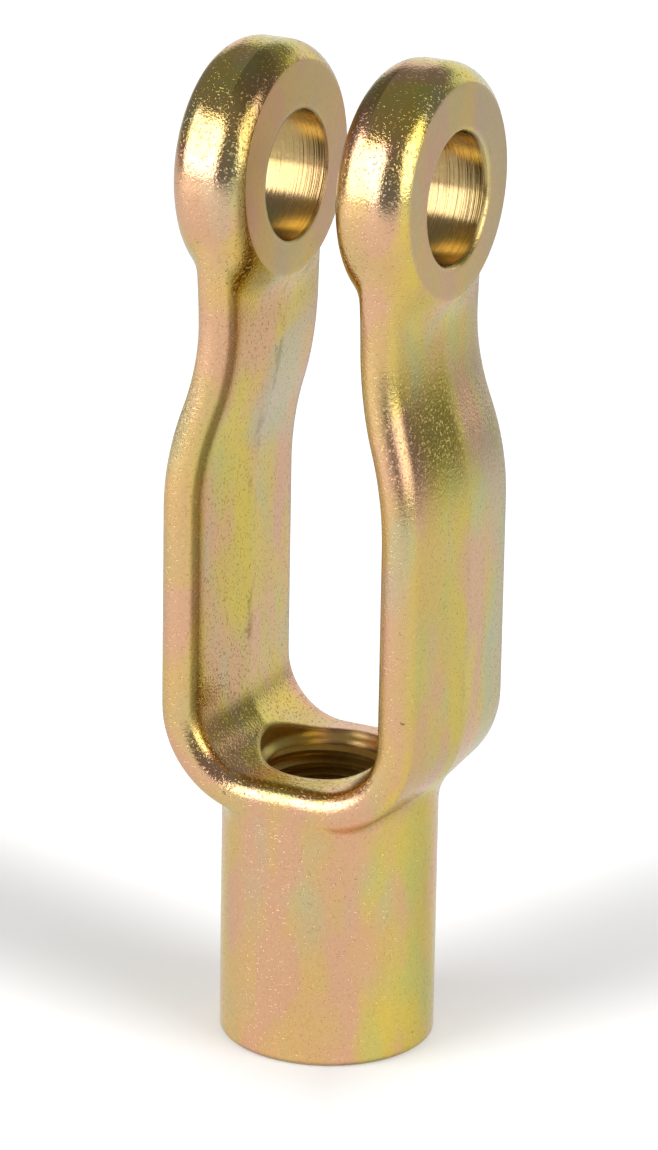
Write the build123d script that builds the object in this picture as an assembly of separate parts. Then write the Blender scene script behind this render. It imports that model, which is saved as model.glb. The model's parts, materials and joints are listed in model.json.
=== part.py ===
from build123d import *
import os
from math import atan2, degrees, radians, tan

# Clevis rod end: a one-piece drop forging with two eyes for a cross pin, a deep
# slot and a round shank that is tapped for the rod.
# Millimetres. Origin at the centre of the shank's flat end, +Z along the shank
# towards the eyes, +X along the pin. The slot is open along Y and at the top.
# The dies meet on the plane Y = 0, so every forged wall leans in from there.

# Pin and eyes
PIN_D = 12.7            # cross pin, half an inch
PIN_CLEARANCE = 0.1     # on the diameter
PIN_HEIGHT = 87.1       # shank end to pin centre
EYE_R = 12.1            # outer radius of each eye
EYE_RAISE = 0.75        # the forged eye's centre is this far above the pin's
SLOT_WIDTH = 9.5        # between the milled inner faces
EAR_THICKNESS = 7.7     # milled face to milled face of one ear
MILLING_STOCK = 0.3     # forged skin that milling takes off each ear face
EYE_ROUND = 3.0         # forged round of an eye's two rims
EYE_PROUD = 0.3         # how far an eye stands out round the end of the strap in it
EYE_BLEND = 4.5         # round in the corner between eye and strap
PIN_CHAMFER = 0.35      # at the bore's two outer mouths

# Strap that runs from eye to eye round the bottom of the slot
STRAP_THICKNESS = 5.2   # on the parting plane
ARM_GAP = 18.3          # between the arms below the bend, on the parting plane
NECK_GAP = 12.0         # between the arms just under the eyes
FLARE_TOP = 74.0        # height where the arms start to spread
FLARE_BOTTOM = 54.9     # height where they run straight again
FLOOR_HEIGHT = 29.4     # bottom of the slot
FLOOR_CORNER_R = 5.7    # slot corner, inside the strap
DRAFT = 4.0             # degrees, on the strap's walls as they leave the dies

# The same strap seen from the side
ARM_PROUD = 0.1         # how far the arms stand out past the shank, front and back
NECK_INSET = 1.1        # how far the necks draw in from the arms, front and back
NECK_DROP = 14.8        # pin height less the height of the narrowest place
NECK_FOOT = 16.0        # from there down to where the arm is at its full width
NECK_TURN = 15.0        # degrees under its widest place where the eye runs into the neck
OUTER_SHARE = 0.43      # rounds of the strap's long edges, as shares of its edge
INNER_SHARE = 0.52

# Shank and its hole
SHANK_D = 21.4
SHANK_END_ROUND = 0.6
SHANK_BLEND = 3.5       # round in the corner between shank and strap
THREAD_D = 12.7         # half inch, twenty threads to the inch, fine series
THREAD_MOUTH = 0.7      # countersink at the shank end
MOUTH_D = 14.0          # plain mouth of the hole in the slot floor
MOUTH_DEPTH = 0.9       # below the slot floor

# Places worked out from the sizes above
pin_r = (PIN_D + PIN_CLEARANCE) / 2
inner_face = SLOT_WIDTH / 2
outer_face = inner_face + EAR_THICKNESS
half_strap = STRAP_THICKNESS / 2
mid_arm = ARM_GAP / 2 + half_strap
mid_neck = NECK_GAP / 2 + half_strap
eye_z = PIN_HEIGHT + EYE_RAISE
eye_top = eye_z + EYE_R
shank_r = SHANK_D / 2
arm_half = shank_r + ARM_PROUD
strap_end_r = EYE_R - EYE_PROUD
edge = STRAP_THICKNESS - 2 * max(arm_half, strap_end_r) * tan(radians(DRAFT))
thread_r = THREAD_D / 2
mouth_r = MOUTH_D / 2
BEYOND = 5.0            # how far a cutting tool or a blank runs past the metal
TOUCH = 0.01            # nearer than this is the same place


def strap_wall(outward):
    """One wall of the strap from eye to eye round the slot, in the front view.

    outward is the wall's distance from the strap's mid-line, away from the slot.
    """
    shift = mid_arm - mid_neck
    drop = FLARE_TOP - FLARE_BOTTOM
    bend_r = (drop**2 + shift**2) / (4 * shift)
    lean = 2 * degrees(atan2(shift, drop))
    corner_x = ARM_GAP / 2 - FLOOR_CORNER_R
    corner_r = FLOOR_CORNER_R + half_strap + outward
    floor_z = FLOOR_HEIGHT - half_strap - outward
    floor = Line((-corner_x, floor_z), (corner_x, floor_z))
    corner = JernArc(floor @ 1, (1, 0), corner_r, 90)
    arm = Line(corner @ 1, (corner_x + corner_r, FLARE_BOTTOM))
    leave = JernArc(arm @ 1, (0, 1), bend_r + outward, lean)
    arrive = JernArc(leave @ 1, leave % 1, bend_r - outward, -lean)
    neck = Line(arrive @ 1, (mid_neck + outward, eye_top + BEYOND))
    rising = [corner, arm, leave, arrive, neck]
    return [mirror(e, Plane.YZ) for e in reversed(rising)] + [floor] + rising


def strap_section(depth):
    """Front outline of the strap at a distance from the parting plane, thinned by the draft."""
    half = half_strap - depth * tan(radians(DRAFT))
    inside = strap_wall(-half)
    outside = strap_wall(half)
    ends = [Line(inside[0] @ 1, outside[0] @ 1), Line(inside[-1] @ 1, outside[-1] @ 1)]
    return Plane.XZ.offset(depth) * make_face([*inside, *outside, *ends])


def strap_side():
    """Side outline: straight arm, shallow neck and the round of the eye."""
    neck_z = PIN_HEIGHT - NECK_DROP
    foot = (arm_half, neck_z - NECK_FOOT)
    end = CenterArc((0, eye_z), strap_end_r, -NECK_TURN, 90 + NECK_TURN)
    base_z = FLOOR_HEIGHT - STRAP_THICKNESS - BEYOND
    base = Line((0, base_z), (arm_half, base_z))
    arm = Line(base @ 1, foot)
    neck = Spline(foot, (arm_half - NECK_INSET, neck_z), end @ 0, tangents=[(0, 1), end % 0])
    middle = Line(end @ 1, base @ 0)
    half = Plane.YZ * make_face([base, arm, neck, end, middle])
    return half + mirror(half, Plane.XZ)


def slot_core():
    """A solid that holds all that lies on the slot's side of the strap's mid-line."""
    middle = strap_wall(0)
    lid = Line(middle[0] @ 1, middle[-1] @ 1)
    return extrude(Plane.XZ * make_face([*middle, lid]), amount=EYE_R + BEYOND, both=True)


def same_edges(part, wanted):
    """The edges of a part that still lie where the wanted ones were."""
    middles = [e @ 0.5 for e in wanted]
    return [e for e in part.edges() if any((e @ 0.5 - m).length < TOUCH for m in middles)]


def forged_strap():
    """The strap, drafted both ways from the parting plane, with its long edges rounded."""
    half = loft([strap_section(0), strap_section(EYE_R + BEYOND)], ruled=True)
    blank = half + mirror(half, Plane.XZ)
    strap = blank & extrude(strap_side(), amount=outer_face + BEYOND, both=True)
    flat = [f for f in strap.faces() if abs(f.normal_at().X) < TOUCH]
    sides = [f for f in flat if abs(f.center().Y) > shank_r / 2 or f.center().Z > PIN_HEIGHT]
    long_edges = [e for f in sides for e in f.edges() if abs((e % 0.5).X) < 1 - TOUCH]
    core = slot_core()
    inner = [e for e in long_edges if core.is_inside(e @ 0.5)]
    outer = [e for e in long_edges if not core.is_inside(e @ 0.5)]
    strap = fillet(outer, OUTER_SHARE * edge)
    return fillet(same_edges(strap, inner), INNER_SHARE * edge)


def forged_eyes():
    """The two eyes before milling: thick discs with soft rims."""
    start = Plane(origin=(inner_face - MILLING_STOCK, 0, eye_z), x_dir=(0, 1, 0), z_dir=(1, 0, 0))
    eye = extrude(start * Circle(EYE_R), amount=EAR_THICKNESS + 2 * MILLING_STOCK)
    eye = fillet(eye.edges().filter_by(GeomType.CIRCLE), EYE_ROUND)
    return eye + mirror(eye, Plane.YZ)


def join(first, second, round_r):
    """Two forged forms as one, with a round in the corner where they meet."""
    both = first + second
    return fillet(new_edges(first, second, combined=both), round_r)


def forging():
    """The yoke as it leaves the dies. The shank's top is buried half way into the strap."""
    yoke = join(forged_strap(), forged_eyes(), EYE_BLEND)
    shank = Rot(0, 0, 90) * extrude(Circle(shank_r), amount=FLOOR_HEIGHT) - slot_core()
    shank = fillet(shank.edges().group_by(Axis.Z)[0], SHANK_END_ROUND)
    return join(yoke, shank, SHANK_BLEND)


def milling_cuts():
    """What the mill takes off: the slot between the eyes and the outside of each eye."""
    high = eye_top + BEYOND - FLARE_TOP
    slot = Pos(0, 0, FLARE_TOP + high / 2) * Box(SLOT_WIDTH, 2 * (EYE_R + BEYOND), high)
    across = Plane(origin=(outer_face, 0, PIN_HEIGHT), x_dir=(0, 1, 0), z_dir=(1, 0, 0))
    spot = extrude(across * Circle(EYE_R + BEYOND), amount=BEYOND)
    return slot + spot + mirror(spot, Plane.YZ)


def pin_cut():
    """The pin bore through both eyes, with a chamfer at each outer mouth."""
    mouth = outer_face + BEYOND
    outline = Polyline((-mouth, 0), (-mouth, pin_r + PIN_CHAMFER + BEYOND),
                       (PIN_CHAMFER - outer_face, pin_r), (outer_face - PIN_CHAMFER, pin_r),
                       (mouth, pin_r + PIN_CHAMFER + BEYOND), (mouth, 0), close=True)
    return Pos(0, 0, PIN_HEIGHT) * revolve(make_face(outline), axis=Axis.X)


def shank_cut():
    """The rod's hole: countersink, thread at its full diameter, then the plain mouth."""
    seat_z = FLOOR_HEIGHT - MOUTH_DEPTH
    outline = Polyline((0, -BEYOND), (thread_r + THREAD_MOUTH + BEYOND, -BEYOND),
                       (thread_r, THREAD_MOUTH), (thread_r, seat_z - (mouth_r - thread_r)),
                       (mouth_r, seat_z), (mouth_r, FLARE_BOTTOM), (0, FLARE_BOTTOM), close=True)
    return revolve(Plane.XZ * make_face(outline), axis=Axis.Z)


yoke = forging() - milling_cuts() - pin_cut() - shank_cut()
os.makedirs("parts", exist_ok=True)
export_step(yoke, "parts/forged_yoke.step")
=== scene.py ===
import json
import math

import bpy
from bpy.props import (FloatProperty, FloatVectorProperty, IntProperty,
                       PointerProperty)
from mathutils import Matrix, Vector

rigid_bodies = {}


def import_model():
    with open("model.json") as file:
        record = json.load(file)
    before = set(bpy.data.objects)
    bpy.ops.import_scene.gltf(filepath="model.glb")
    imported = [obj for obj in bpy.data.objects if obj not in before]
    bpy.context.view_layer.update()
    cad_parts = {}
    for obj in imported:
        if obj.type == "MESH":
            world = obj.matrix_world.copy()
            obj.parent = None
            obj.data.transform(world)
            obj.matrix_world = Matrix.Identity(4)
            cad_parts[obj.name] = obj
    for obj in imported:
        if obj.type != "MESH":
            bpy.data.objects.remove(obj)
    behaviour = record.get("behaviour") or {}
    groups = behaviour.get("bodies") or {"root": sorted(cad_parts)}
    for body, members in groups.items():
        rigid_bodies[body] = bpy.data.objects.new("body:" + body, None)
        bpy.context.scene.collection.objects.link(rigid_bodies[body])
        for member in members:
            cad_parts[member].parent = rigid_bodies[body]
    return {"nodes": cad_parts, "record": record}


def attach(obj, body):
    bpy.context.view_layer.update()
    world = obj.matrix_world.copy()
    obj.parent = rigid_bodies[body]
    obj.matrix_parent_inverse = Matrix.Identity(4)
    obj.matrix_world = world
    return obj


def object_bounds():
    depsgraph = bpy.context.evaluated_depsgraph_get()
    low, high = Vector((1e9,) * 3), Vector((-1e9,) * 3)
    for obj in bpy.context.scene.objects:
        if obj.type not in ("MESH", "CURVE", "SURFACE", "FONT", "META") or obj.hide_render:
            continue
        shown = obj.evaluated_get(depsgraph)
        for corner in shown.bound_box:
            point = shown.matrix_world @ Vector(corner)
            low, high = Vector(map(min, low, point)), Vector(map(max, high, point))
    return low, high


for leftover in list(bpy.data.objects):
    bpy.data.objects.remove(leftover)

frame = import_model()
CAD_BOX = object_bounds()

bl_info = {
    "name": "Clevis rod end",
    "version": (1, 0, 0),
    "blender": (4, 5, 0),
    "location": "View3D > Sidebar > Rod end",
    "description": "Plated finish, thread and studio for a forged clevis rod end",
    "category": "Object",
}

# Places in the frame, in metres. Z runs up the shank, X along the pin, and Y is back
MM = 0.001
YOKE = "forged_yoke"
MOUNTS = {mount["name"]: mount for mount in frame["record"]["mounts"]}
PIN = MOUNTS["pin_bore"]
PIN_R = PIN["dims"]["r_mm"] * MM
PIN_Z = PIN["pos_m"][2]
THREAD = MOUNTS["shank_thread"]
THREAD_R = THREAD["dims"]["r_mm"] * MM
HALF_THREAD = THREAD["dims"]["length_mm"] / 2 * MM
THREAD_LOW = THREAD["pos_m"][2] - HALF_THREAD
THREAD_HIGH = THREAD["pos_m"][2] + HALF_THREAD
SLOT = frame["record"]["physics"]["openings"]
SLOT_LOW = min(space["box_m"][0][2] for space in SLOT)
EYES_LOW = max(space["box_m"][0][2] for space in SLOT)

# Where the tools cut the forging
PIN_MARGIN = 0.15 * MM          # the pin bore's chamfer, past its radius
HOLE_MARGIN = 0.8 * MM          # the plain mouth of the rod's hole, past the thread's radius
FLAT_FACING = 0.996             # least sideways part of a milled face's normal
EYE_RISE = 6 * MM               # over which the milled faces begin
FLOOR_RISE = 4 * MM             # over which the slot's sides begin, under its open part
INSIDE_DEPTH = -0.1 * MM        # x times the normal's x, under which a face looks inwards
INNER_EDGE_TURN = (0.12, 0.30, 0.60, 0.78)   # size of the normal's Y across a slot's inner edge, where a painted dark reflection goes
SEAM_TOP = (2 * MM, 5 * MM)     # over the eyes' foot, where the parting line's round ends

# Film of the plating. Depths run from front to back
STRETCH = 2.3                   # height of a blotch over its width
DRIFT = 11 * MM                 # how far the upright bands wander
DRIFT_SCALE = (0.7, 0.7, 1.0)
TINT_DETAIL = 1.2
TINT_MOST = 0.9                 # the most that one tint covers
# Each tint's noise where it starts and is full, then its share in blotches and in bands
TINTS = {
    "Straw": (0.42, 0.66, 0.55, 0.60),
    "Olive": (0.44, 0.72, 0.56, 0.25),
    "Rose": (0.43, 0.68, 0.80, 0.52),
    "Mist": (0.52, 0.76, 0.40, 0.50),
}
# Depths where a tint's band starts, is full, falls and ends
BANDS = {
    "Straw": (-7 * MM, -3 * MM, 0, 5 * MM),
    "Olive": (-8 * MM, -3 * MM, -1 * MM, 4 * MM),
    "Mist": (3 * MM, 8 * MM, 12 * MM, 16 * MM),
}
ROSY_BACK = (5 * MM, 11 * MM)   # depths over which the film turns rosy
ROSY_FRONT = (-0.5, -1.0)       # the normal's Y over which it turns rosy too
NECK = (EYES_LOW - 17 * MM, EYES_LOW - 12 * MM, EYES_LOW - 4 * MM, EYES_LOW)
NECK_SHIFT = 8 * MM             # how far the left neck's bands lie forwards

# Noises: cycles a metre, detail and roughness
PATCHES = (160, 2.0, 0.5)
MOTTLE = (2600, 2.0, 0.7)
PITTING = (900, 3.0, 0.7)
BREAKS = (700, 3.5, 0.5)
STAIN = (420, 3.0, 0.5)
# Noises of the forged grain, in cycles a grain
FINE = (1.1, 2.5, 0.6)
BROAD = (0.16, 2.0, 0.5)
DOTS = (1.1, 1.5, 0.6)
# Another place in the same noise makes another pattern
DRIFT_PLACE = (2, 9, 4)
TINT_PLACE = (7, 3, 5)
DOTS_PLACE = (11, 5, 2)
PITTING_PLACE = (0.02, 0.4, 0.1)

# Heights in the bump, as shares of the grain's depth
FINE_HEIGHT = 0.45
BROAD_HEIGHT = 0.30
DIMPLE_HEIGHT = 0.28
RING_HEIGHT = 0.4
ARC_HEIGHT = 0.05
DIMPLED = (0.59, 0.70)          # noise where a dimple starts and is full
RING_ALONG = 60                 # cycles a metre along a ring that a tool leaves in a bore
PIN_RINGS = 5200                # cycles a metre from ring to ring
ROD_RINGS = 3600
ARC_SCALE = 1400                # arcs that the mill leaves on an eye's face
ARC_DISTORTION = 1.5
ARC_DETAIL_SCALE = 400

# Marks on the film: noise where they start and are full, and their share
DARK_SPECKS = (0.50, 0.30, 0.07)
PALE_SPECKS = (0.56, 0.74, 0.18)
PITS = (0.70, 0.76, 0.70)
MILLED_SHARE = 0.45             # how far a cut face's own film covers the forging's
# Shares of the bores' film: their own film, darkened as painted shade in the bores
PIN_SHARE = 0.72
HOLE_SHARE = 0.30
SEAM_WIDTH = 1.2 * MM           # half the width of the parting line's trace, and its wander
SEAM_BROKEN = (0.44, 0.68)
SEAM_SHARE = 0.10
SEAM_INSIDE = 0.35              # more of it in the slot
EDGE_SHADE_SHARE = (0.50, 0.25)       # share of the painted dark reflection, brown, along the slot's inner edges: what follows the patches, and the rest
CONTACT_SHADE_RISE = (0.7 * MM, 0.1 * MM)   # heights over which the shank's foot darkens, a painted contact shadow
CONTACT_SHADE_SHARE = 0.5

# Roughness added to a finish's own
PATCH_ROUGH = 0.10
HOLE_ROUGH = 0.14
DIMPLE_ROUGH = 0.30
THREAD_ROUGH = (0.12, 0.30)     # what follows the stain, and the rest
THREAD_STAIN = (0.50, 0.02)
THREAD_BUMP = 0.6

# One ridge of the thread, as shares of its pitch and of a turn
ROOT_SHARE = 0.94
CREST_SHARE = 0.26
FADE_TURNS = 0.25               # over which the ridge fades out at each end
SUNK = 0.03 * MM                # how far its root reaches into the wall

# Floor. The grey band is a painted shadow, a V whose foot is at the part, as the camera sees it
FLOOR_SIDES = 96
BAND_SLOPE = 0.85               # how far the band runs back for each metre aside
BAND_FOOT = 2 * MM              # how far its foot lies in front of the part's axis
BAND_FADE = (39 * MM, 2 * MM)   # distance from its middle where it is gone, and full
BAND_RIGHT = (0, 20 * MM)       # aside, over which its right arm gets weaker
BAND_LOSS = 0.18
SHEEN_FADE = (0.50, 0.15)       # distance where the painted sheen of the near floor is gone, and full
POOL_SLOPE = 0.42               # x over y along the edge of a painted pool of light at the back left
POOL_FADE = (0, 60 * MM)

# Lamps: azimuth and height in degrees, distance and size in metres
LAMPS = {
    "lamp_left": (-38, 22, 0.60, (0.48, 0.48)),
    "lamp_right": (80, 21, 0.60, (0.42, 0.44)),
    "lamp_back": (-173, 15, 0.80, (1.12, 0.52)),
}
AIM_Z = 0.55 * CAD_BOX[1][2]    # where they point
SENSOR = 36.0                   # the camera's width in millimetres, which the lens is for
CLIP = (0.01, 20.0)


def colour(name, text, value):
    return FloatVectorProperty(name=name, description=text, default=value, size=3,
                               min=0.0, max=1.0, subtype="COLOR")


def share(name, text, value):
    return FloatProperty(name=name, description=text, default=value, min=0.0, max=1.0,
                         subtype="FACTOR")


def length(name, text, value):
    return FloatProperty(name=name, description=text, default=value, unit="LENGTH")


def power(name, text, value):
    return FloatProperty(name=name, description=text, default=value, unit="POWER")


def angle(name, text, degrees):
    return FloatProperty(name=name, description=text, default=math.radians(degrees),
                         subtype="ANGLE")


class RodEndFinish(bpy.types.PropertyGroup):
    """Colours and grain of the yellow zinc plating."""

    tan: colour("Tan", "Main colour of the plating", (0.76, 0.54, 0.16))
    rose: colour("Rose", "Pinkish film on the plating", (0.80, 0.46, 0.29))
    straw: colour("Straw", "Yellow film on the plating", (0.84, 0.62, 0.09))
    olive: colour("Olive", "Greenish film on the plating", (0.62, 0.60, 0.18))
    mist: colour("Mist", "Blue-grey film on the plating", (0.50, 0.58, 0.38))
    milled: colour("Milled", "Even film on the milled eye faces", (0.82, 0.56, 0.38))
    # Bored: the bores' own warm film, darkened as painted shade in the bores
    bored: colour("Bored", "Warm film on the walls of the bores", (0.38, 0.28, 0.11))
    glint: colour("Glint", "Pale specks where the film is thin", (0.86, 0.76, 0.56))
    # Oxide: dark brown of real pits, stains and the parting line, and also of painted shade
    # along the slot's inner edges and at the shank's foot
    oxide_and_shade: colour("Oxide", "Dark brown in pits and along rough edges", (0.13, 0.075, 0.03))
    forged_roughness: share("Forged roughness", "Roughness of what the dies leave", 0.11)
    milled_roughness: share("Milled roughness", "Roughness of the milled eye faces", 0.36)
    bored_roughness: share("Bored roughness", "Roughness of the walls of the bores", 0.18)
    grain: length("Grain size", "Size of the fine grain of the forged skin", 0.32 * MM)
    grain_depth: length("Grain depth", "Depth of the fine grain", 0.075 * MM)
    edge_round: length("Edge round", "Round that the plating leaves on milled edges", 0.7 * MM)
    seam_round: length("Seam round", "Round over the trimmed parting line", 2.4 * MM)
    blotch: length("Blotch", "Width of the coloured blotches of the film", 4.8 * MM)


class RodEndThread(bpy.types.PropertyGroup):
    """Sizes of the thread in the shank."""

    major_r: length("Major radius", "Radius at the roots, the wall of the bore", THREAD_R)
    depth: length("Depth", "How far the ridges stand in from the wall", 0.66 * MM)
    pitch: length("Pitch", "Height of one turn, a twentieth of an inch", 1.27 * MM)
    lead_in: length("Lead in", "Start over the lower end of the full thread", 0.09 * MM)
    run_out: length("Run out", "End over the upper end of the full thread", 0.30 * MM)
    steps: IntProperty(name="Steps a turn", default=96, min=24, max=256,
                       description="Points round one turn of the thread")


class RodEndStudio(bpy.types.PropertyGroup):
    """Floor, lamps and camera."""

    floor_r: length("Floor radius", "Radius of the pale floor", 1.6)
    floor_tone: share("Floor tone", "How pale the floor is", 0.86)
    floor_glow: share("Floor glow", "White added to the floor for the camera", 0.72)
    # Floor sheen: a painted sheen on the near floor, which glows only in the metal's
    # reflections
    painted_floor_sheen: share("Floor sheen", "White of the near floor for the metal", 0.265)
    # Band depth: how dark the painted shadow of the part on the floor is
    painted_shadow_depth: share("Band depth", "How grey the soft band beside the part is", 0.47)
    dimness: share("Room light", "Strength of the dim light from all sides", 0.20)
    left_power: power("Left lamp", "Power of the soft lamp at the front left", 2.5)
    right_power: power("Right lamp", "Power of the soft lamp at the right", 1.7)
    back_power: power("Back lamp", "Power of the soft lamp at the back left", 1.3)
    eye: FloatVectorProperty(name="Camera place", subtype="TRANSLATION", unit="LENGTH",
                             default=(0.23235, -0.45499, 0.22436),
                             description="Where the camera stands")
    turn: angle("Camera azimuth", "How far the camera stands round to the right", 27.11)
    pitch: angle("Camera pitch", "How far the camera looks down", 19.09)
    roll: angle("Camera roll", "How far the camera is tipped", 1.0)
    lens: FloatProperty(name="Lens", default=173.9, description="Focal length in millimetres")


# Shader helpers

class Graph:
    """Adds nodes to a shader tree. A value may be a link, a number or a colour."""

    def __init__(self, tree):
        self.tree = tree

    def add(self, kind, **settings):
        node = self.tree.nodes.new(kind)
        for key, value in settings.items():
            setattr(node, key, value)
        return node

    def give(self, socket, value):
        if isinstance(value, bpy.types.NodeSocket):
            self.tree.links.new(value, socket)
        elif isinstance(value, (int, float)):
            socket.default_value = value
        else:
            socket.default_value = (*value[:3], 1.0)

    def calc(self, operation, first, second=0.0):
        node = self.add("ShaderNodeMath", operation=operation)
        self.give(node.inputs[0], first)
        self.give(node.inputs[1], second)
        return node.outputs[0]

    def plus(self, first, second):
        return self.calc("ADD", first, second)

    def minus(self, first, second):
        return self.calc("SUBTRACT", first, second)

    def times(self, first, second):
        return self.calc("MULTIPLY", first, second)

    def larger(self, first, second):
        return self.calc("MAXIMUM", first, second)

    def absolute(self, value):
        return self.calc("ABSOLUTE", value)

    def below(self, value, limit):
        return self.calc("LESS_THAN", value, limit)

    def squares(self, first, second):
        return self.plus(self.times(first, first), self.times(second, second))

    def within(self, first, second, reach):
        """1 where a point given by two distances lies nearer than reach, and 0 elsewhere."""
        return self.below(self.squares(first, second), reach * reach)

    def absent(self, mask):
        return self.minus(1.0, mask)

    def sloped(self, value, slope, base):
        """A value made flatter or steeper, and raised by a base."""
        return self.plus(self.times(value, slope), base)

    def swing(self, noise, reach):
        """Noise about a half turned into a swing about 0."""
        return self.times(self.minus(noise, 0.5), reach)

    def step(self, value, low, high):
        """0 below low, 1 above high, smooth between them."""
        node = self.add("ShaderNodeMapRange", interpolation_type="SMOOTHSTEP")
        self.give(node.inputs[0], value)
        node.inputs["From Min"].default_value = low
        node.inputs["From Max"].default_value = high
        return node.outputs[0]

    def swell(self, value, start, full, fall, end):
        """0 outside start and end, 1 from full to fall."""
        return self.minus(self.step(value, start, full), self.step(value, fall, end))

    def rise(self, value, start, full, most):
        """0 before start and most from full on, smooth between them."""
        return self.times(self.step(value, start, full), most)

    def mix(self, mask, under, over):
        node = self.add("ShaderNodeMix", data_type="RGBA")
        for i, value in ((0, mask), (6, under), (7, over)):
            self.give(node.inputs[i], value)
        return node.outputs[2]

    def parts(self, vector):
        node = self.add("ShaderNodeSeparateXYZ")
        self.give(node.inputs[0], vector)
        return node.outputs

    def join(self, x, y, z):
        node = self.add("ShaderNodeCombineXYZ")
        for socket, value in zip(node.inputs, (x, y, z)):
            self.give(socket, value)
        return node.outputs[0]

    def divided(self, vector, sizes):
        """A vector divided, axis by axis, by another."""
        node = self.add("ShaderNodeVectorMath", operation="DIVIDE")
        self.give(node.inputs[0], vector)
        self.give(node.inputs[1], sizes)
        return node.outputs[0]

    def mapped(self, vector, scale=(1, 1, 1), place=(0, 0, 0)):
        node = self.add("ShaderNodeMapping")
        self.give(node.inputs["Vector"], vector)
        node.inputs["Scale"].default_value = scale
        node.inputs["Location"].default_value = place
        return node.outputs[0]

    def noise(self, vector, scale=1.0, detail=2.0, rough=0.5):
        node = self.add("ShaderNodeTexNoise")
        self.give(node.inputs["Vector"], vector)
        node.inputs["Scale"].default_value = scale
        node.inputs["Detail"].default_value = detail
        node.inputs["Roughness"].default_value = rough
        return node.outputs["Fac"]

    def group(self, tree, **values):
        node = self.add("ShaderNodeGroup", node_tree=tree)
        for name, value in values.items():
            self.give(node.inputs[name], value)
        return node.outputs

    def bump(self, height, distance, strength=1.0):
        node = self.add("ShaderNodeBump")
        node.inputs["Strength"].default_value = strength
        node.inputs["Distance"].default_value = distance
        self.give(node.inputs["Height"], height)
        return node

    def metal(self, tone, roughness, normal):
        """A metal surface as the material's output."""
        shader = self.add("ShaderNodeBsdfPrincipled")
        shader.inputs["Metallic"].default_value = 1.0
        self.give(shader.inputs["Base Color"], tone)
        self.give(shader.inputs["Roughness"], roughness)
        self.give(shader.inputs["Normal"], normal)
        self.show(shader.outputs[0])

    def show(self, surface, kind="ShaderNodeOutputMaterial"):
        self.give(self.add(kind).inputs["Surface"], surface)


def graph_of(thing):
    """An empty graph for a material or a world."""
    thing.use_nodes = True
    thing.node_tree.nodes.clear()
    return Graph(thing.node_tree)


def shared(name, build):
    """The node group of a name, built the first time it is asked for."""
    groups = bpy.data.node_groups
    return groups[name] if name in groups else build(name)


def new_group(name, inputs, outputs):
    """A node group with its graph, its inputs and its output node."""
    tree = bpy.data.node_groups.new(name, "ShaderNodeTree")
    for kind, label in inputs:
        tree.interface.new_socket(label, in_out="INPUT", socket_type="NodeSocket" + kind)
    for kind, label in outputs:
        tree.interface.new_socket(label, in_out="OUTPUT", socket_type="NodeSocket" + kind)
    graph = Graph(tree)
    given = graph.add("NodeGroupInput").outputs
    return graph, given, graph.add("NodeGroupOutput").inputs


def film_group(name):
    """Coloured film of the plating: tints in soft upright bands and blotches over the tan.

    Depth is how far back a point lies, in metres. Front is 1 where a face looks forwards,
    and Greyed is 1 where the grey film gathers.
    """
    numbers = [("Float", label) for label in ("Blotch", "Depth", "Front", "Greyed")]
    colours = [("Color", label) for label in ("Tan", *TINTS)]
    g, given, out = new_group(name, [("Vector", "Vector"), *numbers, *colours],
                              [("Color", "Color")])
    width = given["Blotch"]
    spread = g.divided(given["Vector"], g.join(width, width, g.times(width, STRETCH)))
    drift = g.noise(g.mapped(spread, DRIFT_SCALE, DRIFT_PLACE), detail=1.0)
    depth = g.plus(given["Depth"], g.swing(drift, DRIFT))
    bands = {tint: g.swell(depth, *places) for tint, places in BANDS.items()}
    bands["Mist"] = g.times(bands["Mist"], given["Greyed"])
    bands["Rose"] = g.larger(given["Front"], g.step(depth, *ROSY_BACK))
    tone = given["Tan"]
    for i, (tint, (start, full, in_blotches, in_bands)) in enumerate(TINTS.items()):
        field = g.noise(g.mapped(spread, place=[i * part for part in TINT_PLACE]),
                        detail=TINT_DETAIL)
        mask = g.plus(g.rise(field, start, full, in_blotches), g.times(bands[tint], in_bands))
        tone = g.mix(g.calc("MINIMUM", mask, TINT_MOST), tone, given[tint])
    g.give(out["Color"], tone)
    return g.tree


def grain_group(name):
    """Fine grain of a forged skin as a height from 0 to 1, with its dimples as a mask."""
    g, given, out = new_group(name, [("Vector", "Vector"), ("Float", "Size")],
                              [("Float", "Height"), ("Float", "Dimples")])
    size = given["Size"]
    point = g.divided(given["Vector"], g.join(size, size, size))
    dimples = g.step(g.noise(g.mapped(point, place=DOTS_PLACE), *DOTS), *DIMPLED)
    height = g.plus(g.times(g.noise(point, *FINE), FINE_HEIGHT),
                    g.times(g.noise(point, *BROAD), BROAD_HEIGHT))
    g.give(out["Height"], g.minus(height, g.times(dimples, DIMPLE_HEIGHT)))
    g.give(out["Dimples"], dimples)
    return g.tree


# Materials

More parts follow.
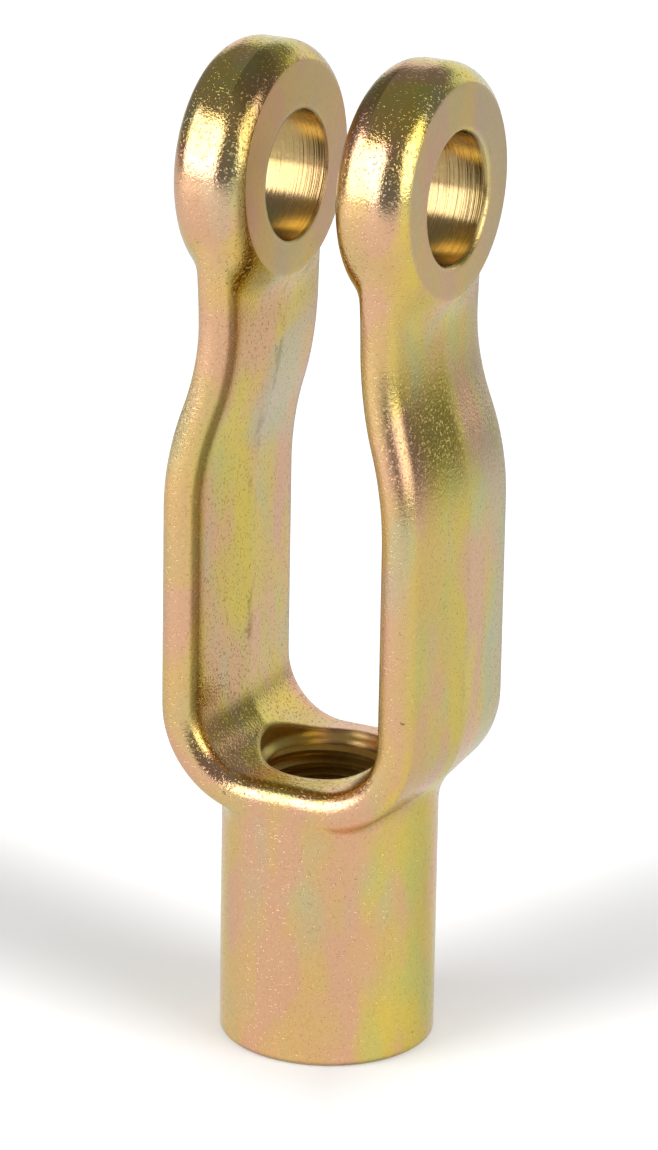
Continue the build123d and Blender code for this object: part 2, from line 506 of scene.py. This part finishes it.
class Yoke:
    """Masks over the yoke that its colour, its bump and its roughness share."""

    def __init__(self, g, finish):
        self.point = g.add("ShaderNodeTexCoord").outputs["Object"]
        self.x, self.y, self.z = g.parts(self.point)
        sideways, along, _ = g.parts(g.add("ShaderNodeNewGeometry").outputs["Normal"])
        self.pin_bore = g.within(g.minus(self.z, PIN_Z), self.y, PIN_R + PIN_MARGIN)
        self.rod_hole = g.times(g.within(self.x, self.y, THREAD_R + HOLE_MARGIN),
                                g.below(self.z, SLOT_LOW))
        self.bored = g.larger(self.pin_bore, self.rod_hole)
        flat = g.calc("GREATER_THAN", g.absolute(sideways), FLAT_FACING)
        high = g.step(self.z, EYES_LOW, EYES_LOW + EYE_RISE)
        self.milled = g.times(g.times(flat, high), g.absent(self.bored))
        self.forged = g.absent(g.larger(self.milled, self.bored))
        self.inside = g.times(g.below(g.times(self.x, sideways), INSIDE_DEPTH),
                              g.step(self.z, SLOT_LOW - FLOOR_RISE, SLOT_LOW))
        # Slot's inner edges, where a painted dark reflection goes
        self.inner_edge_shade = g.times(self.inside, g.swell(g.absolute(along), *INNER_EDGE_TURN))
        self.patch = g.noise(self.point, *PATCHES)
        self.grain = g.group(shared("Forged grain", grain_group), Vector=self.point,
                             Size=finish.grain)


def yoke_film(g, yoke, finish):
    """The film over the yoke: rosier in front, greyer at the back of the right side.

    On the left neck the bands lie further forwards, with a grey streak among them.
    """
    normal = g.parts(g.add("ShaderNodeTexCoord").outputs["Normal"])
    left_neck = g.times(g.swell(yoke.z, *NECK), g.below(yoke.x, 0.0))
    greyed = g.larger(g.step(yoke.x, THREAD_R, 2 * THREAD_R), left_neck)
    depth = g.plus(yoke.y, g.times(left_neck, NECK_SHIFT))
    film = g.group(shared("Plating film", film_group), Vector=yoke.point,
                   Blotch=finish.blotch, Depth=depth,
                   Front=g.step(normal["Y"], *ROSY_FRONT), Greyed=greyed,
                   Tan=finish.tan, Straw=finish.straw, Olive=finish.olive,
                   Rose=finish.rose, Mist=finish.mist)
    return film["Color"]


def seam_trace(g, yoke):
    """The broken trace of the parting line, which shows most in the slot."""
    off_seam = g.absolute(g.plus(yoke.y, g.swing(yoke.patch, SEAM_WIDTH)))
    broken = g.noise(g.mapped(yoke.point, (1, 1, 0.5)), *BREAKS)
    trace = g.times(g.step(off_seam, SEAM_WIDTH, 0), g.step(broken, *SEAM_BROKEN))
    return g.times(g.times(trace, yoke.forged), g.sloped(yoke.inside, SEAM_INSIDE, SEAM_SHARE))


def yoke_tone(g, yoke, finish):
    """Film with specks, pits and the parting line's trace, bores darkened partly as painted
    shade, a painted dark reflection in brown along the slot's inner edges and a painted contact
    shadow at the foot.
    """
    # Bores: their own film, and painted shade that darkens them
    bored = g.plus(g.times(yoke.pin_bore, PIN_SHARE), g.times(yoke.rod_hole, HOLE_SHARE))
    mottle = g.noise(yoke.point, *MOTTLE)
    pitting = g.noise(g.mapped(yoke.point, place=PITTING_PLACE), *PITTING)
    # Painted dark reflection, brown, along the slot's inner edges
    edges = g.times(yoke.inner_edge_shade, g.sloped(yoke.patch, *EDGE_SHADE_SHARE))
    tone = yoke_film(g, yoke, finish)
    for mask, over in ((g.times(yoke.milled, MILLED_SHARE), finish.milled),
                       (bored, finish.bored),
                       (g.rise(mottle, *DARK_SPECKS), finish.oxide_and_shade),
                       (g.rise(mottle, *PALE_SPECKS), finish.glint),
                       (g.rise(pitting, *PITS), finish.oxide_and_shade),
                       (seam_trace(g, yoke), finish.oxide_and_shade),
                       (edges, finish.oxide_and_shade),
                       # Painted contact shadow at the shank's foot
                       (g.rise(yoke.z, *CONTACT_SHADE_RISE, CONTACT_SHADE_SHARE), finish.oxide_and_shade)):
        tone = g.mix(mask, tone, over)
    return tone


def yoke_height(g, yoke):
    """Grain of the forged skin, rings left by the drill and arcs left by the mill."""
    pin_rings = g.noise(g.mapped(yoke.point, (PIN_RINGS, RING_ALONG, RING_ALONG)))
    rod_rings = g.noise(g.mapped(yoke.point, (RING_ALONG, RING_ALONG, ROD_RINGS)))
    rings = g.plus(g.times(pin_rings, yoke.pin_bore), g.times(rod_rings, yoke.rod_hole))
    arcs = g.add("ShaderNodeTexWave", wave_type="RINGS", rings_direction="SPHERICAL")
    g.give(arcs.inputs["Vector"], g.mapped(yoke.point, (0, 1, 1), (0, 0, -PIN_Z)))
    arcs.inputs["Scale"].default_value = ARC_SCALE
    arcs.inputs["Distortion"].default_value = ARC_DISTORTION
    arcs.inputs["Detail Scale"].default_value = ARC_DETAIL_SCALE
    milled = g.times(arcs.outputs["Fac"], yoke.milled)
    height = g.times(yoke.grain["Height"], yoke.forged)
    height = g.plus(height, g.times(rings, RING_HEIGHT))
    return g.plus(height, g.times(milled, ARC_HEIGHT))


def yoke_rough(g, yoke, finish):
    """Roughness of the forged skin, changed where it is cut, dimpled or patchy."""
    rough = g.plus(finish.forged_roughness, g.swing(yoke.patch, PATCH_ROUGH))
    for mask, more in ((yoke.milled, finish.milled_roughness - finish.forged_roughness),
                       (yoke.bored, finish.bored_roughness - finish.forged_roughness),
                       (yoke.rod_hole, HOLE_ROUGH),
                       (g.times(yoke.grain["Dimples"], yoke.forged), DIMPLE_ROUGH)):
        rough = g.plus(rough, g.times(mask, more))
    return rough


def plated_material(finish):
    """Yellow zinc plating over the forged skin, the milled eye faces and the bores."""
    material = bpy.data.materials.new("plated_forging")
    g = graph_of(material)
    yoke = Yoke(g, finish)
    seams = g.swell(yoke.z, SLOT_LOW - FLOOR_RISE, SLOT_LOW,
                    *(EYES_LOW + rise for rise in SEAM_TOP))
    soft = g.add("ShaderNodeBevel", samples=4)
    g.give(soft.inputs["Radius"],
           g.sloped(seams, finish.seam_round - finish.edge_round, finish.edge_round))
    bump = g.bump(yoke_height(g, yoke), finish.grain_depth)
    g.give(bump.inputs["Normal"], soft.outputs[0])
    g.metal(yoke_tone(g, yoke, finish), yoke_rough(g, yoke, finish), bump.outputs[0])
    return material


def thread_material(finish):
    """The same plating in the tapped hole, stained brown."""
    material = bpy.data.materials.new("tapped_thread")
    g = graph_of(material)
    point = g.add("ShaderNodeTexCoord").outputs["Object"]
    stain = g.noise(point, *STAIN)
    tone = g.mix(g.sloped(stain, *THREAD_STAIN), finish.tan, finish.oxide_and_shade)
    grain = g.group(shared("Forged grain", grain_group), Vector=point, Size=finish.grain)
    bump = g.bump(grain["Height"], finish.grain_depth, THREAD_BUMP)
    g.metal(tone, g.sloped(stain, *THREAD_ROUGH), bump.outputs[0])
    return material


def painted_shadow_band(g, point, turn):
    """Mask of the painted shadow: a soft grey band that lies to the left and right of the part.
    """
    turned = g.add("ShaderNodeVectorRotate", rotation_type="Z_AXIS")
    g.give(turned.inputs["Vector"], point)
    turned.inputs["Angle"].default_value = -turn
    aside, back, _ = g.parts(turned.outputs[0])
    middle = g.times(g.absolute(aside), BAND_SLOPE)
    off = g.absolute(g.plus(g.minus(back, middle), BAND_FOOT))
    return g.times(g.step(off, *BAND_FADE), g.absent(g.rise(aside, *BAND_RIGHT, BAND_LOSS)))


def floor_material(studio):
    """Pale matt floor. It keeps the shadow, and the camera sees the rest of it as white.

    A soft grey band, a painted shadow, lies to the left and right of the part, as in the
    photograph. The metal sees the floor as pale near the part and in a pool of light at the
    back left, both a painted sheen that glows only in reflections.
    """
    material = bpy.data.materials.new("pale_floor")
    g = graph_of(material)
    matt = g.add("ShaderNodeBsdfDiffuse")
    g.give(matt.inputs["Color"], (studio.floor_tone,) * 3)
    point = g.add("ShaderNodeTexCoord").outputs["Object"]
    x, y, _ = g.parts(point)
    # Painted shadow: a soft grey band on the floor beside the part
    band = painted_shadow_band(g, point, studio.turn)
    near = g.step(g.calc("SQRT", g.squares(x, y)), *SHEEN_FADE)
    # Painted pool of light at the back left, seen only in reflections
    pool = g.step(g.minus(g.times(y, POOL_SLOPE), x), *POOL_FADE)
    path = g.add("ShaderNodeLightPath").outputs
    # The camera sees the floor as white, and darker where the painted shadow lies
    seen = g.times(path["Is Camera Ray"],
                   g.minus(studio.floor_glow, g.times(band, studio.painted_shadow_depth)))
    # The metal sees a painted sheen glowing on the near floor and in the painted pool of light
    painted_reflection = g.times(path["Is Glossy Ray"], g.times(g.larger(near, pool), studio.painted_floor_sheen))
    glow = g.add("ShaderNodeEmission")
    g.give(glow.inputs["Strength"], g.plus(seen, painted_reflection))
    both = g.add("ShaderNodeAddShader")
    g.give(both.inputs[0], matt.outputs[0])
    g.give(both.inputs[1], glow.outputs[0])
    g.show(both.outputs[0])
    return material


# Shapes

def round_point(radius, turn, z):
    return radius * math.cos(turn), radius * math.sin(turn), z


def way_to(azimuth, height):
    """The direction at an azimuth from the front round to the right, and at a height."""
    level = math.cos(height)
    return Vector((math.sin(azimuth) * level, -math.cos(azimuth) * level, math.sin(height)))


def helix_mesh(sizes):
    """Mesh of the thread: one sixty-degree ridge wound up the wall of the bore.

    Its section has two points at the root, just inside the wall, and two at the crest,
    which fades out into the wall at both ends.
    """
    root = sizes.major_r + SUNK
    crest = sizes.major_r - sizes.depth
    half_root = sizes.pitch * ROOT_SHARE / 2
    half_crest = sizes.pitch * CREST_SHARE / 2
    low = THREAD_LOW + sizes.lead_in + half_root
    high = THREAD_HIGH + sizes.run_out - half_root
    count = int((high - low) / sizes.pitch * sizes.steps)
    fade = sizes.steps * FADE_TURNS
    points, faces = [], []
    for i in range(count + 1):
        turn = math.tau * i / sizes.steps
        middle = low + sizes.pitch * i / sizes.steps
        inner = root + (crest - root) * min(1.0, i / fade, (count - i) / fade)
        for radius, rise in ((root, -half_root), (inner, -half_crest),
                             (inner, half_crest), (root, half_root)):
            points.append(round_point(radius, turn, middle + rise))
    for i in range(count):
        a, b = 4 * i, 4 * (i + 1)
        for k in range(3):
            faces.append((a + k, a + k + 1, b + k + 1, b + k))
    mesh = bpy.data.meshes.new("thread_ridge")
    mesh.from_pydata(points, [], faces)
    mesh.validate()
    mesh.update()
    return mesh


def disc_mesh(radius):
    mesh = bpy.data.meshes.new("floor")
    ring = [round_point(radius, math.tau * i / FLOOR_SIDES, 0) for i in range(FLOOR_SIDES)]
    mesh.from_pydata(ring, [], [tuple(range(FLOOR_SIDES))])
    return mesh


def shown(name, data):
    thing = bpy.data.objects.new(name, data)
    bpy.context.scene.collection.objects.link(thing)
    return thing


# Operators

class PlateForging(bpy.types.Operator):
    """Give the forged yoke its yellow zinc plating."""

    bl_idname = "rod_end.plate_forging"
    bl_label = "Plate the forging"

    def execute(self, context):
        material = plated_material(context.scene.rod_end_finish)
        for slot in frame["nodes"][YOKE].material_slots:
            slot.material = material
        return {"FINISHED"}


class CutThread(bpy.types.Operator):
    """Wind the ridges of the thread up the wall of the shank's bore."""

    bl_idname = "rod_end.cut_thread"
    bl_label = "Cut the thread"

    def execute(self, context):
        ridge = shown("thread_ridge", helix_mesh(context.scene.rod_end_thread))
        ridge.data.materials.append(thread_material(context.scene.rod_end_finish))
        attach(ridge, "root")
        return {"FINISHED"}


class SetStage(bpy.types.Operator):
    """Lay the pale floor and hang the soft lamps and the world's light."""

    bl_idname = "rod_end.set_stage"
    bl_label = "Set the stage"

    def execute(self, context):
        studio = context.scene.rod_end_studio
        floor = shown("floor", disc_mesh(studio.floor_r))
        floor.data.materials.append(floor_material(studio))
        for name, watts in (("lamp_left", studio.left_power),
                            ("lamp_right", studio.right_power),
                            ("lamp_back", studio.back_power)):
            hang_lamp(name, watts, *LAMPS[name])
        light_world(context.scene)
        return {"FINISHED"}


def hang_lamp(name, watts, azimuth, height, far, size):
    """A soft box that faces the part."""
    away = way_to(math.radians(azimuth), math.radians(height))
    light = bpy.data.lights.new(name, "AREA")
    light.shape = "RECTANGLE"
    light.size, light.size_y = size
    light.energy = watts
    lamp = shown(name, light)
    facing = away.to_track_quat("Z", "Y").to_matrix().to_4x4()
    lamp.matrix_world = Matrix.Translation(Vector((0, 0, AIM_Z)) + away * far) @ facing
    lamp.visible_camera = False


def light_world(scene):
    """Dim soft light from all sides. The camera sees the world as white."""
    world = bpy.data.worlds.new("studio")
    scene.world = world
    g = graph_of(world)
    dim = g.add("ShaderNodeBackground")
    dim.inputs["Strength"].default_value = scene.rod_end_studio.dimness
    white = g.add("ShaderNodeBackground")
    for background in (dim, white):
        g.give(background.inputs["Color"], (1.0, 1.0, 1.0))
    mix = g.add("ShaderNodeMixShader")
    g.give(mix.inputs[0], g.add("ShaderNodeLightPath").outputs["Is Camera Ray"])
    g.give(mix.inputs[1], dim.outputs[0])
    g.give(mix.inputs[2], white.outputs[0])
    g.show(mix.outputs[0], "ShaderNodeOutputWorld")


class SetCamera(bpy.types.Operator):
    """Put the camera where the photograph was taken from."""

    bl_idname = "rod_end.set_camera"
    bl_label = "Set the camera"

    def execute(self, context):
        studio = context.scene.rod_end_studio
        ahead = -way_to(studio.turn, studio.pitch)
        right = Vector((math.cos(studio.turn), math.sin(studio.turn), 0))
        up = right.cross(ahead)
        tip, level = math.sin(studio.roll), math.cos(studio.roll)
        axes = Matrix((level * right + tip * up, level * up - tip * right, -ahead))
        data = bpy.data.cameras.new("photo_camera")
        data.lens = studio.lens
        data.sensor_width = SENSOR
        data.sensor_fit = "AUTO"
        data.clip_start, data.clip_end = CLIP
        camera = shown("photo_camera", data)
        camera.matrix_world = Matrix.Translation(studio.eye) @ axes.transposed().to_4x4()
        context.scene.camera = camera
        context.scene.view_settings.view_transform = "Standard"
        return {"FINISHED"}


class RodEndPanel(bpy.types.Panel):
    """The rod end's sizes, colours and steps."""

    bl_idname = "VIEW3D_PT_rod_end"
    bl_label = "Clevis rod end"
    bl_space_type = "VIEW_3D"
    bl_region_type = "UI"
    bl_category = "Rod end"

    def draw(self, context):
        scene = context.scene
        for title, group, steps in (
                ("Plating", scene.rod_end_finish, (PlateForging,)),
                ("Thread", scene.rod_end_thread, (CutThread,)),
                ("Studio", scene.rod_end_studio, (SetStage, SetCamera))):
            box = self.layout.box()
            box.label(text=title)
            for name in group.__annotations__:
                box.prop(group, name)
            for step in steps:
                box.operator(step.bl_idname)


CLASSES = (RodEndFinish, RodEndThread, RodEndStudio, PlateForging, CutThread, SetStage,
           SetCamera, RodEndPanel)


def register():
    for cls in CLASSES:
        bpy.utils.register_class(cls)
    bpy.types.Scene.rod_end_finish = PointerProperty(type=RodEndFinish)
    bpy.types.Scene.rod_end_thread = PointerProperty(type=RodEndThread)
    bpy.types.Scene.rod_end_studio = PointerProperty(type=RodEndStudio)


def unregister():
    del bpy.types.Scene.rod_end_studio
    del bpy.types.Scene.rod_end_thread
    del bpy.types.Scene.rod_end_finish
    for cls in reversed(CLASSES):
        bpy.utils.unregister_class(cls)


def main():
    register()
    bpy.ops.rod_end.set_camera()
    bpy.ops.rod_end.plate_forging()
    bpy.ops.rod_end.cut_thread()
    bpy.ops.rod_end.set_stage()


if __name__ == "__main__":
    main()
